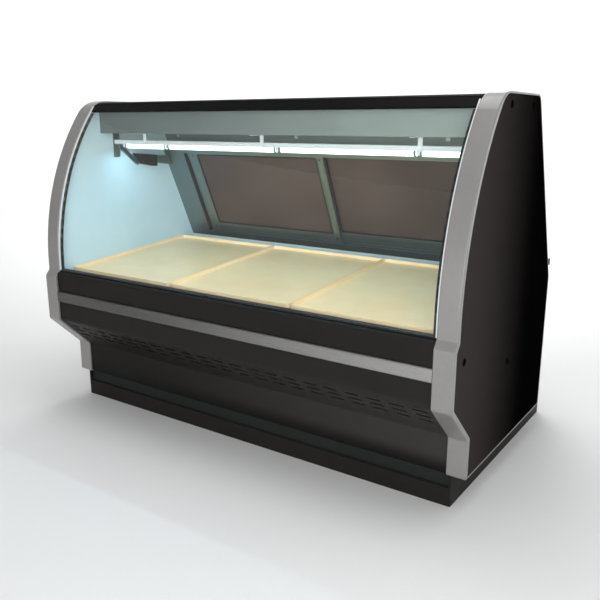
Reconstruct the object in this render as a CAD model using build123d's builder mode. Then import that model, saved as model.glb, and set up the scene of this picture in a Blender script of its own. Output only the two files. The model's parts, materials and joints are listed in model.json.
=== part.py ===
"""Refrigerated deli case with a curved lift-up front glass, rear sliding doors and its own condensing unit.

Frame: +X along the counter, -Y towards the customer, +Z up, origin under the middle of the case on the floor.
Side profiles are drawn in (depth, height): depth is counted backwards from the nose of the end panels.
"""

from build123d import *
from math import asin, cos, degrees, radians, sin
import os

os.makedirs("parts", exist_ok=True)

# ---------------------------------------------------------------- driving dimensions, millimetres and degrees
LENGTH = 1900  # over the end panels
DEPTH = 1120  # nose to the back of the base
HEIGHT = 1330

# end panels
PANEL_T = 69
PANEL_BACK = 935
PANEL_BOTTOM = 112
TRIM = 16  # face of the edge moulding seen from the side, along the front
THIN_TRIM = 7  # the same along the top, the rear and the bottom
TRIM_ROUND = 4
SKIN = 1.5
TOE = 150  # front of the panel below the nose
NOSE_LOW = 395
NOSE_HIGH = 588
NOSE_NOTCH = 614
OUTLINE_RADII = (140, 38, 60, 10, 10, 16, 16, 12, 10)  # front top corner first, then round the back and up
INFILL_RADII = (84, 31, 53, 4, 4, 12, 8, 8, 12)
FLANK = 0.42  # share of the moulding's face by which a slanted flank moves along its neighbours
PLUG_PLACES = ((352, 1291), (566, 1291), (80, 538), (491, 425))
PLUG_R = 11
REAR_TOP = 640  # rear line meets the top here
REAR_LEAN = 23.55  # lean of the rear doors from upright

# curved front
CURVE_R = 1050  # outside of the end panel moulding
CURVE_START_D = 20
CURVE_START_Z = 640
GLASS_SETBACK = 12
GLASS_T = 6
GLASS_BOTTOM = 612.5
GLASS_END_ANGLE = 39.4  # where the glass ends inside its clamp
HINGE_D = 290
HINGE_Z = 1310
HINGE_ROD_R = 4
HINGE_CLEARANCE = 0.3
BARREL_R = 8

# nose and lower front
SHEET = 2
FASCIA_FRONT = 10
NOSE_TOP = 608
BUMPER_LOW = 479
BUMPER_HIGH = 525
KNEE_TOP = (FASCIA_FRONT, 397)
KNEE_LOW = (158, 250)
PANEL_FOOT = 118
SLOT_LENGTH = 56
SLOT_WIDTH = 12
SLOT_PITCH = 83
SLOT_ROW_PITCH = 36.5
SLOT_COLUMNS = 21
SLOT_ROWS = 3
SLOTS_BELOW_KNEE = 82  # middle row of slots, down the slanted face

# base
BASE_HALF = 900
BASE_FRONT = 155
BASE_H = 112
BASE_WALL = 60
BASE_SHEET = 3
MEMBER_LOW = 40
KICK_LOW = 66
KICK_SETBACK = 14
MEMBER_X = (-305, 255)

# insulated tank
TANK_FRONT = 12
TANK_BACK = 922
TANK_LOW = 430
TANK_FLOOR = 478
TANK_IN_FRONT = 60
TANK_IN_BACK = 876
LINER = 1.5

# display deck
DECK_FRONT = (96, 604)
DECK_BACK = (800, 656)
PAN_COUNT = 3
PAN_GAP = 4
PAN_RIM = 15
PAN_SHEET = 2
PAN_REST_GAP = 0.2

# rear sliding doors, in (x, distance down the slope), with e counted outwards from the rear line
DOOR_E_IN = -50
DOOR_E_OUT = -6
HEAD_LOW = 237
HEAD_H = 32
SILL_HIGH = 665
SILL_H = 32
LEFT_JAMB_W = 136
RIGHT_JAMB_W = 90
JAMB_GASKET = 11
DOOR_T = 12
DOOR_STILE = 62  # outer stile
MEETING_STILE = 38
MEETING_X = 23  # middle of the overlapping stiles
DOOR_HEAD_RAIL = 20
DOOR_LOW_RAIL = 54
PULL = (22, 10, 4.5)  # distance from the door's edge, width, height
PULL_U = (380, 520)
DOOR_GLASS_T = 5
GROOVE_W = 16
LEFT_DOOR_E = -38.5  # middle of the inner track
RIGHT_DOOR_E = -17.5  # middle of the outer track

# canopy
CANOPY_TOP = 1322
FASCIA_D = 300
FASCIA_LOW = 1189
TAB_X = (-410, 179, 767)

# light
LAMP_D = 390
LAMP_Z = 1135
LAMP_R = 12
LAMP_HOLDERS_X = (-822, -556, 36, 628, 862)
HOUSING_TOP = 1160
HOUSING_LOW = 1142
HOOKS_X = (-676, -30, 640)
HOOK_HALF = 9
WALL_BAR_D = (368, 402)
WALL_BAR_LOW = 1083

# rear machine housing
HOUSING_BACK = 1096
LEDGE_TOP = 690
ACCESS_HALF = 655
ACCESS_LOW = 145
ACCESS_HIGH = 575
CONTROL_X = 760
CONTROL_Z = 605
CONTROL_W = 180
CONTROL_H = 110
SWITCH_X = CONTROL_X - 42
KNOB_X = CONTROL_X + 34
SCREW_R = 2
SCREW_HEAD_R = 4.5
SCREW_HEAD_H = 1.8
SCREW_HOLE_R = 2.3
GLAND_X = -780
GLAND_Z = 190
GLAND_R = 11
LOUVRE_Z = 320
SWITCH_HOLE = (24, 34)
SWITCH_TILT = 8
SWITCH_HALF = 11
SWITCH_PIN_R = 1
KNOB_SHAFT_R = 3
KNOB_R = 17

# refrigeration
COIL_HALF = 700
COIL_FRONT = 500
COIL_BACK = 640
COIL_FIN_PITCH = 50
PASS_HALF = 11
FIN_T = 1.6
BEND_OUT = 5  # where the return bends start, past the fins
PIPE_R = 4.5
EVAP_FANS_X = (-350, 350)
EVAP_FAN_Z = 536
EVAP_FAN_R = 54
EVAP_PORT_R = 59
EVAP_SHAFT_R = 3
PLENUM_D = 440
CONDENSER_X = -130
CONDENSER_HALF = 200
CONDENSER_FRONT = 262
CONDENSER_T = 40
CONDENSER_FIN_PITCH = 20
CONDENSER_Z = 244
CONDENSER_HIGH = 370
COND_FAN_R = 108
COND_PORT_R = 116
COND_SHAFT_R = 4
SHAFT_CLEARANCE = 0.08
COMPRESSOR_X = 150
COMPRESSOR_D = 600
COMPRESSOR_R = 85
SUCTION_X = 770
LIQUID_X = 810
LIQUID_D = 300
DISCHARGE_Z = 270
SUCTION_Z = 290
DRAIN_X = -760
DRAIN_D = 600
DRAIN_OUTLET_D = 960

# ---------------------------------------------------------------- worked out from the above
HALF = LENGTH / 2
INNER = HALF - PANEL_T  # inner face of an end panel
CURVE_CENTRE = (CURVE_START_D + CURVE_R, CURVE_START_Z)
GLASS_R = CURVE_R - GLASS_SETBACK
LEAN_S = sin(radians(REAR_LEAN))
LEAN_C = cos(radians(REAR_LEAN))
CONTROL_FACE = HOUSING_BACK + 2.5  # outer face of the control plate
PIVOT_D = HOUSING_BACK + 1.25  # in the middle of the control plate's thickness
OPENING_X = (-INNER + LEFT_JAMB_W, INNER - RIGHT_JAMB_W)  # between the door jambs
DECK_SLOPE = (DECK_BACK[1] - DECK_FRONT[1]) / (DECK_BACK[0] - DECK_FRONT[0])


def side_plane(x):
    """Plane across the case at x, drawn in (depth, height) and facing +X."""
    return Plane(origin=(x, -DEPTH / 2, 0), x_dir=(0, 1, 0), z_dir=(1, 0, 0))


def slope_point(u, e):
    """(depth, height) of a point u down the rear line and e outside it."""
    return (REAR_TOP + u * LEAN_S + e * LEAN_C, HEIGHT - u * LEAN_C + e * LEAN_S)


def curve_point(angle, radius):
    """(depth, height) on the front curve, the angle counted up from the level of its centre."""
    a = radians(angle)
    return (CURVE_CENTRE[0] - radius * cos(a), CURVE_CENTRE[1] + radius * sin(a))


def deck_z(depth):
    """Height of the pans' underside at a depth."""
    return DECK_FRONT[1] + (depth - DECK_FRONT[0]) * DECK_SLOPE


def block(x0, x1, d0, d1, z0, z1, mode=Mode.ADD):
    """Box between two x, two depths and two heights."""
    with Locations(((x0 + x1) / 2, (d0 + d1) / 2 - DEPTH / 2, (z0 + z1) / 2)):
        Box(x1 - x0, d1 - d0, z1 - z0, mode=mode)


def along_x(radius, x0, x1, d, z, mode=Mode.ADD):
    """Cylinder along X."""
    with Locations(Location(((x0 + x1) / 2, d - DEPTH / 2, z), (0, 90, 0))):
        Cylinder(radius, x1 - x0, mode=mode)


def along_y(radius, x, d0, d1, z, mode=Mode.ADD):
    """Cylinder from front to back."""
    with Locations(Location((x, (d0 + d1) / 2 - DEPTH / 2, z), (90, 0, 0))):
        Cylinder(radius, d1 - d0, mode=mode)


def upright(radius, x, d, z0, z1, mode=Mode.ADD):
    """Vertical cylinder."""
    with Locations((x, d - DEPTH / 2, (z0 + z1) / 2)):
        Cylinder(radius, z1 - z0, mode=mode)


def profile_run(points, x0, x1, mode=Mode.ADD):
    """Straight-sided profile in (depth, height), run from x0 to x1."""
    with BuildSketch(side_plane(x0)) as profile:
        with BuildLine():
            Polyline(*points, close=True)
        make_face()
    extrude(profile.sketch, amount=x1 - x0, mode=mode)


def bent_sheet(points, bend, side, x0, x1, thickness=SHEET):
    """Sheet bent along points in (depth, height), which lie on its outer face."""
    with BuildSketch(side_plane(x0)) as profile:
        with BuildLine():
            FilletPolyline(*points, radius=bend)
            offset(amount=thickness, side=side)
        make_face()
    extrude(profile.sketch, amount=x1 - x0)


def tube_run(points, radius, bend, bore=0):
    """Pipe through points given as (x, depth, height)."""
    route = [(x, d - DEPTH / 2, z) for x, d, z in points]
    with BuildLine() as path:
        FilletPolyline(*route, radius=bend)
    with BuildSketch(Plane(origin=path.line @ 0, z_dir=path.line % 0)) as section:
        Circle(radius)
        if bore:
            Circle(bore, mode=Mode.SUBTRACT)
    sweep(section.sketch, path=path.line)


def finish(builder, name):
    """Label a finished piece and write its STEP file."""
    builder.part.label = name
    export_step(builder.part, f"parts/{name}.step")


# ---------------------------------------------------------------- base
with BuildPart() as base_frame:
    block(-BASE_HALF, BASE_HALF, BASE_FRONT, DEPTH, 0, BASE_H)
    inner_half = BASE_HALF - BASE_WALL
    block(-inner_half, inner_half, BASE_FRONT + BASE_WALL, DEPTH - BASE_WALL, 0, BASE_H, Mode.SUBTRACT)
    web_half = BASE_HALF - BASE_SHEET
    web_front, web_back = BASE_FRONT + BASE_SHEET, DEPTH - BASE_SHEET
    block(-web_half, web_half, web_front, web_back, BASE_SHEET, BASE_H - BASE_SHEET, Mode.SUBTRACT)
    for member_x in MEMBER_X:
        block(member_x - 25, member_x + 25, web_front, web_back, MEMBER_LOW, BASE_H)
        hollow_low, hollow_high = MEMBER_LOW + BASE_SHEET, BASE_H - BASE_SHEET
        block(member_x - 22, member_x + 22, web_front, web_back, hollow_low, hollow_high, Mode.SUBTRACT)
    kick_half = BASE_HALF - 8
    kick_back = BASE_FRONT + KICK_SETBACK
    block(-kick_half, kick_half, BASE_FRONT, kick_back, KICK_LOW, BASE_H, Mode.SUBTRACT)
    block(-web_half, web_half, web_front, kick_back + BASE_SHEET, KICK_LOW - BASE_SHEET, KICK_LOW)
    block(-web_half, web_half, kick_back, kick_back + BASE_SHEET, KICK_LOW, BASE_H)
finish(base_frame, "base_frame")

with BuildPart() as kick_plate:
    block(-kick_half, kick_half, kick_back - SHEET, kick_back, KICK_LOW, BASE_H)
    block(-kick_half, kick_half, kick_back - 8, kick_back - SHEET, KICK_LOW, KICK_LOW + SHEET)
finish(kick_plate, "kick_plate")

# ---------------------------------------------------------------- insulated tank and its liner
with BuildPart() as tank_body:
    tank_profile = (
        (TANK_FRONT, TANK_LOW),
        (TANK_FRONT, NOSE_TOP - 20),
        (TANK_FRONT + 18, NOSE_TOP - SHEET),
        (TANK_IN_FRONT, NOSE_TOP - SHEET),
        (TANK_IN_FRONT, TANK_FLOOR),
        (TANK_IN_BACK, TANK_FLOOR),
        (TANK_IN_BACK, HEIGHT - (SILL_HIGH + SILL_H) * LEAN_C - 22),
        (TANK_BACK, HEIGHT - (SILL_HIGH + SILL_H) * LEAN_C - 2),
        (TANK_BACK, TANK_LOW),
    )
    profile_run(tank_profile, -INNER, INNER)
    upright(14.5, DRAIN_X, DRAIN_D, TANK_LOW, TANK_FLOOR, Mode.SUBTRACT)
    upright(10, SUCTION_X, COMPRESSOR_D, TANK_LOW, TANK_FLOOR, Mode.SUBTRACT)
    upright(8, LIQUID_X, LIQUID_D, TANK_LOW, TANK_FLOOR, Mode.SUBTRACT)
finish(tank_body, "tank_body")

with BuildPart() as tank_liner:
    liner_path = (
        (TANK_IN_FRONT, NOSE_TOP - SHEET),
        (TANK_IN_FRONT, TANK_FLOOR),
        (TANK_IN_BACK, TANK_FLOOR),
        (TANK_IN_BACK, HEIGHT - (SILL_HIGH + SILL_H) * LEAN_C - 24),
    )
    bent_sheet(liner_path, 2, Side.LEFT, -INNER, INNER, LINER)
    liner_holes = ((DRAIN_X, DRAIN_D, 11), (SUCTION_X, COMPRESSOR_D, 10), (LIQUID_X, LIQUID_D, 8))
    for hole_x, hole_d, hole_r in liner_holes:
        upright(hole_r, hole_x, hole_d, TANK_FLOOR - 1, TANK_FLOOR + 4, Mode.SUBTRACT)
finish(tank_liner, "tank_liner")

# ---------------------------------------------------------------- end panels, skins and edge mouldings
def end_profile(front, rear, radii):
    """Outline of an end panel in (depth, height), drawn in by front along the front and by rear elsewhere."""
    top = HEIGHT - rear
    radius = CURVE_R - front
    back = PANEL_BACK - rear
    top_u = rear * (1 - LEAN_S) / LEAN_C
    knee_u = (back - REAR_TOP + rear * LEAN_C) / LEAN_S
    flank = FLANK * front
    with BuildSketch() as outline:
        with BuildLine():
            front_curve = CenterArc(CURVE_CENTRE, radius, 180, -degrees(asin((top - CURVE_CENTRE[1]) / radius)))
            curve_top = front_curve @ 1
            corners = [
                (curve_top.X, curve_top.Y),
                slope_point(top_u, -rear),
                slope_point(knee_u, -rear),
                (back, PANEL_BOTTOM + rear),
                (TOE + front, PANEL_BOTTOM + rear),
                (TOE + front, KNEE_LOW[1] + flank),
                (front, NOSE_LOW + flank),
                (front, NOSE_HIGH - flank),
                (CURVE_START_D + front, NOSE_NOTCH - flank),
            ]
            Polyline(*corners, front_curve @ 0)
        make_face()
        for corner, radius_there in zip(corners, radii):
            fillet(outline.vertices().sort_by_distance(corner)[0], radius_there)
    return outline.sketch


infill_outline = end_profile(TRIM, THIN_TRIM, INFILL_RADII)
moulding_outline = end_profile(0, 0, OUTLINE_RADII) - infill_outline
for side, sign in (("left", -1), ("right", 1)):
    inner_x = sign * INNER
    core_x = sign * (INNER + SKIN)
    skin_x = sign * (HALF - 1.5 - SKIN)
    with BuildPart() as inner_liner:
        with BuildSketch(side_plane(inner_x)):
            add(infill_outline)
        extrude(amount=core_x - inner_x)
    finish(inner_liner, f"{side}_inner_liner")

    with BuildPart() as end_core:
        with BuildSketch(side_plane(core_x)):
            add(infill_outline)
        extrude(amount=skin_x - core_x)
    finish(end_core, f"{side}_end_core")

    with BuildPart() as outer_skin:
        with BuildSketch(side_plane(skin_x)):
            add(infill_outline)
            with Locations(*PLUG_PLACES):
                Circle(PLUG_R, mode=Mode.SUBTRACT)
        extrude(amount=sign * SKIN)
    finish(outer_skin, f"{side}_outer_skin")

    with BuildPart() as edge_trim:
        with BuildSketch(side_plane(inner_x)):
            add(moulding_outline)
        extrude(amount=sign * PANEL_T)
        for face in edge_trim.faces().filter_by(Axis.X).sort_by(Axis.X):
            rim = face.outer_wire().edges()
            fillet(rim, TRIM_ROUND)
    finish(edge_trim, f"{side}_edge_trim")

with BuildPart() as end_panel_plugs:
    for sign in (-1, 1):
        plug_x = sign * (HALF - 1.5 - SKIN)
        for plug_d, plug_z in PLUG_PLACES:
            x_pair = sorted((plug_x, plug_x + sign * (SKIN - 0.4)))
            along_x(PLUG_R - 0.2, x_pair[0], x_pair[1], plug_d, plug_z)
finish(end_panel_plugs, "end_panel_plugs")

# ---------------------------------------------------------------- nose and lower front
with BuildPart() as upper_fascia:
    fascia_path = ((FASCIA_FRONT, 480), (FASCIA_FRONT, NOSE_TOP), (TANK_IN_FRONT, NOSE_TOP))
    bent_sheet(fascia_path, 12, Side.RIGHT, -INNER, INNER)
finish(upper_fascia, "upper_fascia")

with BuildPart() as bumper_rail:
    with BuildSketch(side_plane(-INNER)):
        with Locations(((FASCIA_FRONT + 1) / 2, (BUMPER_LOW + BUMPER_HIGH) / 2)):
            Rectangle(FASCIA_FRONT - 1, BUMPER_HIGH - BUMPER_LOW)
        fillet(vertices().group_by(Axis.X)[0], 5)
    extrude(amount=2 * INNER)
finish(bumper_rail, "bumper_rail")

knee_plane = Plane(
    origin=(0, KNEE_TOP[0] - DEPTH / 2, KNEE_TOP[1]),
    x_dir=(1, 0, 0),
    z_dir=(0, KNEE_LOW[1] - KNEE_TOP[1], KNEE_TOP[0] - KNEE_LOW[0]),
)
with BuildPart() as lower_front_panel:
    lower_path = (
        (FASCIA_FRONT, 480),
        KNEE_TOP,
        KNEE_LOW,
        (KNEE_LOW[0], PANEL_FOOT),
        (KNEE_LOW[0] + 26, PANEL_FOOT),
    )
    bent_sheet(lower_path, (18, 18, 3), Side.LEFT, -INNER, INNER)
    with BuildSketch(knee_plane.offset(3)):
        with Locations((0, -SLOTS_BELOW_KNEE)):
            with GridLocations(SLOT_PITCH, SLOT_ROW_PITCH, SLOT_COLUMNS, SLOT_ROWS):
                SlotOverall(SLOT_LENGTH, SLOT_WIDTH)
    extrude(amount=-8, mode=Mode.SUBTRACT)
finish(lower_front_panel, "lower_front_panel")

with BuildPart() as glass_sill:
    sill_profile = (
        (26, NOSE_TOP),
        (47, NOSE_TOP),
        (47, NOSE_TOP + 12),
        (43, NOSE_TOP + 12),
        (43, NOSE_TOP + 4),
        (26, NOSE_TOP + 4),
    )
    profile_run(sill_profile, -INNER, INNER)
finish(glass_sill, "glass_sill")

GRILLE_X = INNER - 2
with BuildPart() as air_grille:
    block(-GRILLE_X, GRILLE_X, TANK_IN_FRONT + LINER, 92, 592, 595)
    block(-GRILLE_X, GRILLE_X, 90, 92, 580, 592)
    with Locations((0, 77 - DEPTH / 2, 593)):
        with GridLocations(34, 10, 51, 2):
            Box(24, 5, 12, mode=Mode.SUBTRACT)
finish(air_grille, "air_grille")

# ---------------------------------------------------------------- canopy
canopy_bend = (HEIGHT - CANOPY_TOP - 4 * LEAN_S) / LEAN_C
with BuildPart() as canopy_top:
    canopy_path = ((FASCIA_D, CANOPY_TOP), slope_point(canopy_bend, -4), slope_point(HEAD_LOW, -4))
    bent_sheet(canopy_path, 20, Side.RIGHT, -INNER, INNER)
finish(canopy_top, "canopy_top")

with BuildPart() as canopy_fascia:
    fascia_inner = ((FASCIA_D, CANOPY_TOP - SHEET), (FASCIA_D, FASCIA_LOW), (FASCIA_D + 30, FASCIA_LOW))
    bent_sheet(fascia_inner, 3, Side.LEFT, -INNER, INNER)
    for tab_x in TAB_X:
        block(tab_x - 7, tab_x + 7, FASCIA_D + 4, FASCIA_D + 6, FASCIA_LOW - 11, FASCIA_LOW)
finish(canopy_fascia, "canopy_fascia")

# ---------------------------------------------------------------- lift-up front glass and its hinge
GLASS_X = INNER - 3
with BuildPart() as glass_hinge_rail:
    block(-INNER, INNER, FASCIA_D - 2.4, FASCIA_D, 1290, CANOPY_TOP - SHEET)
    block(-INNER, INNER, HINGE_D, FASCIA_D - 2.4, HINGE_Z - 1, HINGE_Z + 1)
    along_x(HINGE_ROD_R, -INNER, INNER, HINGE_D, HINGE_Z)
finish(glass_hinge_rail, "glass_hinge_rail")

with BuildPart() as glass_clamp:
    with BuildSketch(side_plane(-GLASS_X)):
        with Locations((HINGE_D, HINGE_Z)):
            Circle(BARREL_R)
        with BuildLine():
            Polyline(
                curve_point(38.2, GLASS_R - 9),
                curve_point(38.2, GLASS_R + 3),
                curve_point(40.2, GLASS_R + 3),
                curve_point(40.5, GLASS_R - 3),
                curve_point(40.3, GLASS_R - 12),
                close=True,
            )
        make_face()
        with Locations((HINGE_D, HINGE_Z)):
            Circle(HINGE_ROD_R + HINGE_CLEARANCE, mode=Mode.SUBTRACT)
        with BuildLine():
            wedge = [(HINGE_D, HINGE_Z)]
            for wedge_angle in (-30, 32, 95):
                a = radians(wedge_angle)
                wedge.append((HINGE_D + 20 * cos(a), HINGE_Z + 20 * sin(a)))
            Polyline(*wedge, close=True)
        make_face(mode=Mode.SUBTRACT)
        with BuildLine():
            outer_edge = CenterArc(CURVE_CENTRE, GLASS_R + 0.2, 142, -GLASS_END_ANGLE + 37.9)
            inner_edge = CenterArc(CURVE_CENTRE, GLASS_R - GLASS_T - 0.2, 142, -GLASS_END_ANGLE + 37.9)
            Line(outer_edge @ 0, inner_edge @ 0)
            Line(outer_edge @ 1, inner_edge @ 1)
        make_face(mode=Mode.SUBTRACT)
    extrude(amount=2 * GLASS_X)
finish(glass_clamp, "glass_clamp")


def curved_strip(radius, thickness, angle, low_z, x0, x1):
    """Strip that rises straight from low_z and then follows the front curve up to an angle."""
    with BuildSketch(side_plane(x0)) as strip:
        with BuildLine():
            outer = CenterArc(CURVE_CENTRE, radius, 180, -angle)
            inner = CenterArc(CURVE_CENTRE, radius - thickness, 180, -angle)
            front_d = CURVE_CENTRE[0] - radius
            Polyline(outer @ 0, (front_d, low_z), (front_d + thickness, low_z), inner @ 0)
            Line(outer @ 1, inner @ 1)
        make_face()
    extrude(strip.sketch, amount=x1 - x0)


with BuildPart() as front_glass:
    curved_strip(GLASS_R, GLASS_T, GLASS_END_ANGLE, GLASS_BOTTOM, -GLASS_X, GLASS_X)
finish(front_glass, "front_glass")

with BuildPart() as glass_end_seals:
    for seal_x in (-GLASS_X, GLASS_X - 14):
        curved_strip(GLASS_R - GLASS_T, 3, 37.9, GLASS_BOTTOM + 1, seal_x, seal_x + 14)
finish(glass_end_seals, "glass_end_seals")

# ---------------------------------------------------------------- light
with BuildPart() as light_housing:
    housing_path = (
        (LAMP_D - 18, HOUSING_LOW),
        (LAMP_D - 18, HOUSING_TOP),
        (LAMP_D + 18, HOUSING_TOP),
        (LAMP_D + 18, HOUSING_LOW),
    )
    bent_sheet(housing_path, 3, Side.RIGHT, -INNER + 6, INNER - 6, 1.5)
    for holder_x in LAMP_HOLDERS_X:
        block(holder_x - 6, holder_x + 6, LAMP_D - 9, LAMP_D + 9, LAMP_Z - 8, HOUSING_TOP - 1.5)
    hook_back = LAMP_D - 18
    for hook_x in HOOKS_X:
        x0, x1 = hook_x - HOOK_HALF, hook_x + HOOK_HALF
        block(x0, x1, FASCIA_D + 6, hook_back, FASCIA_LOW - SHEET, FASCIA_LOW)
        block(x0, x1, hook_back - SHEET, hook_back, HOUSING_LOW - 2, FASCIA_LOW - SHEET)
        block(x0, x1, hook_back - SHEET, hook_back + 4, HOUSING_LOW - 2, HOUSING_LOW)
finish(light_housing, "light_housing")

with BuildPart() as lamp_tubes:
    for start_x, end_x in zip(LAMP_HOLDERS_X, LAMP_HOLDERS_X[1:]):
        along_x(LAMP_R, start_x + 6, end_x - 6, LAMP_D, LAMP_Z)
    fillet(lamp_tubes.edges().filter_by(GeomType.CIRCLE), 2)
finish(lamp_tubes, "lamp_tubes")

with BuildPart() as light_brackets:
    arm_profile = ((396, 1137), (413, 1133), (515, 1052), (498, 1043), (396, 1124))
    for sign in (-1, 1):
        bar_x = sorted((sign * INNER, sign * (INNER - 6)))
        arm_x = sorted((sign * INNER, sign * (INNER - 12)))
        block(bar_x[0], bar_x[1], WALL_BAR_D[0], WALL_BAR_D[1], WALL_BAR_LOW, FASCIA_LOW)
        profile_run(arm_profile, arm_x[0], arm_x[1])
    cover_profile = ((600, 1083), (692, 1082), (708, 1037), (610, 1050))
    profile_run(cover_profile, -INNER, -INNER + 26)
finish(light_brackets, "light_brackets")

with BuildPart() as ballast_box:
    ballast_profile = ((476, 1097), (599, 1086), (599, 1033), (530, 1045), (500, 1072))
    profile_run(ballast_profile, -INNER, -INNER + 40)
    fillet(ballast_box.edges().filter_by(Axis.X), 3)
finish(ballast_box, "ballast_box")

# ---------------------------------------------------------------- rear door frame, on the slope
DOOR_ORIGIN = (0, REAR_TOP - DEPTH / 2, HEIGHT)


def door_plane(e):
    """Plane parallel to the doors, drawn in (x, distance down the slope) and facing outwards."""
    slope = Plane(origin=DOOR_ORIGIN, x_dir=(1, 0, 0), z_dir=(0, LEAN_C, LEAN_S))
    return slope.offset(e)


def door_block(x0, x1, u0, u1, e0, e1, mode=Mode.ADD):
    """Box on the slope between two x, two distances down the slope and two e."""
    with BuildSketch(door_plane(e0)) as outline:
        with Locations(((x0 + x1) / 2, (u0 + u1) / 2)):
            Rectangle(x1 - x0, u1 - u0)
    extrude(outline.sketch, amount=e1 - e0, mode=mode)


with BuildPart() as door_head_track:
    door_block(-INNER, INNER, HEAD_LOW - HEAD_H, HEAD_LOW, DOOR_E_IN, DOOR_E_OUT)
    for track_e in (LEFT_DOOR_E, RIGHT_DOOR_E):
        e0, e1 = track_e - GROOVE_W / 2, track_e + GROOVE_W / 2
        door_block(OPENING_X[0], OPENING_X[1], HEAD_LOW - 16, HEAD_LOW, e0, e1, Mode.SUBTRACT)
finish(door_head_track, "door_head_track")

with BuildPart() as door_sill_track:
    door_block(-INNER, INNER, SILL_HIGH, SILL_HIGH + SILL_H, DOOR_E_IN, DOOR_E_OUT)
    for track_e in (LEFT_DOOR_E, RIGHT_DOOR_E):
        e0, e1 = track_e - GROOVE_W / 2, track_e + GROOVE_W / 2
        door_block(OPENING_X[0], OPENING_X[1], SILL_HIGH, SILL_HIGH + 10, e0, e1, Mode.SUBTRACT)
finish(door_sill_track, "door_sill_track")

with BuildPart() as door_jambs:
    door_block(-INNER, OPENING_X[0], HEAD_LOW, SILL_HIGH, DOOR_E_IN, DOOR_E_OUT)
    door_block(OPENING_X[1], INNER, HEAD_LOW, SILL_HIGH, DOOR_E_IN, DOOR_E_OUT)
finish(door_jambs, "door_jambs")

# ---------------------------------------------------------------- sliding doors
door_top_u = HEAD_LOW - 12
door_low_u = SILL_HIGH + 4
for side, sign, middle_e in (("left", -1, LEFT_DOOR_E), ("right", 1, RIGHT_DOOR_E)):
    if sign < 0:
        x0, x1 = OPENING_X[0] + JAMB_GASKET, MEETING_X + MEETING_STILE / 2
        stile0, stile1 = DOOR_STILE, MEETING_STILE
        pull_x = x0 + PULL[0]
    else:
        x0, x1 = MEETING_X - MEETING_STILE / 2, OPENING_X[1] - JAMB_GASKET
        stile0, stile1 = MEETING_STILE, DOOR_STILE
        pull_x = x1 - PULL[0] - PULL[1]
    e0, e1 = middle_e - DOOR_T / 2, middle_e + DOOR_T / 2
    g0, g1 = middle_e - DOOR_GLASS_T / 2, middle_e + DOOR_GLASS_T / 2
    pane = (x0 + stile0, x1 - stile1, door_top_u + DOOR_HEAD_RAIL, door_low_u - DOOR_LOW_RAIL)
    with BuildPart() as door_frame:
        door_block(x0, x1, door_top_u, door_low_u, e0, e1)
        door_block(pane[0], pane[1], pane[2], pane[3], e0, e1, Mode.SUBTRACT)
        door_block(pane[0] - 7, pane[1] + 7, pane[2] - 7, pane[3] + 7, g0 - 0.1, g1 + 0.1, Mode.SUBTRACT)
        door_block(pull_x, pull_x + PULL[1], PULL_U[0], PULL_U[1], e1, e1 + PULL[2])
        for glide_x in (x0 + 60, x1 - 60):
            door_block(glide_x - 25, glide_x + 25, door_low_u, door_low_u + 5.6, middle_e - 4, middle_e + 4)
    finish(door_frame, f"{side}_door_frame")

    with BuildPart() as door_glass:
        door_block(pane[0] - 6, pane[1] + 6, pane[2] - 6, pane[3] + 6, g0, g1)
    finish(door_glass, f"{side}_door_glass")

# ---------------------------------------------------------------- rear ledge, housing, access panel
with BuildPart() as rear_ledge:
    block(-INNER + 1, INNER - 1, TANK_BACK + 1, PANEL_BACK + 2, LEDGE_TOP - SHEET, LEDGE_TOP)
    block(-BASE_HALF, BASE_HALF, PANEL_BACK + 2, DEPTH, LEDGE_TOP - SHEET, LEDGE_TOP)
    block(-BASE_HALF, BASE_HALF, DEPTH - SHEET, DEPTH, LEDGE_TOP - 30, LEDGE_TOP - SHEET)
    fillet(rear_ledge.edges().filter_by(Axis.X).sort_by_distance((0, DEPTH / 2, LEDGE_TOP))[0], 1.5)
finish(rear_ledge, "rear_ledge")

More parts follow.
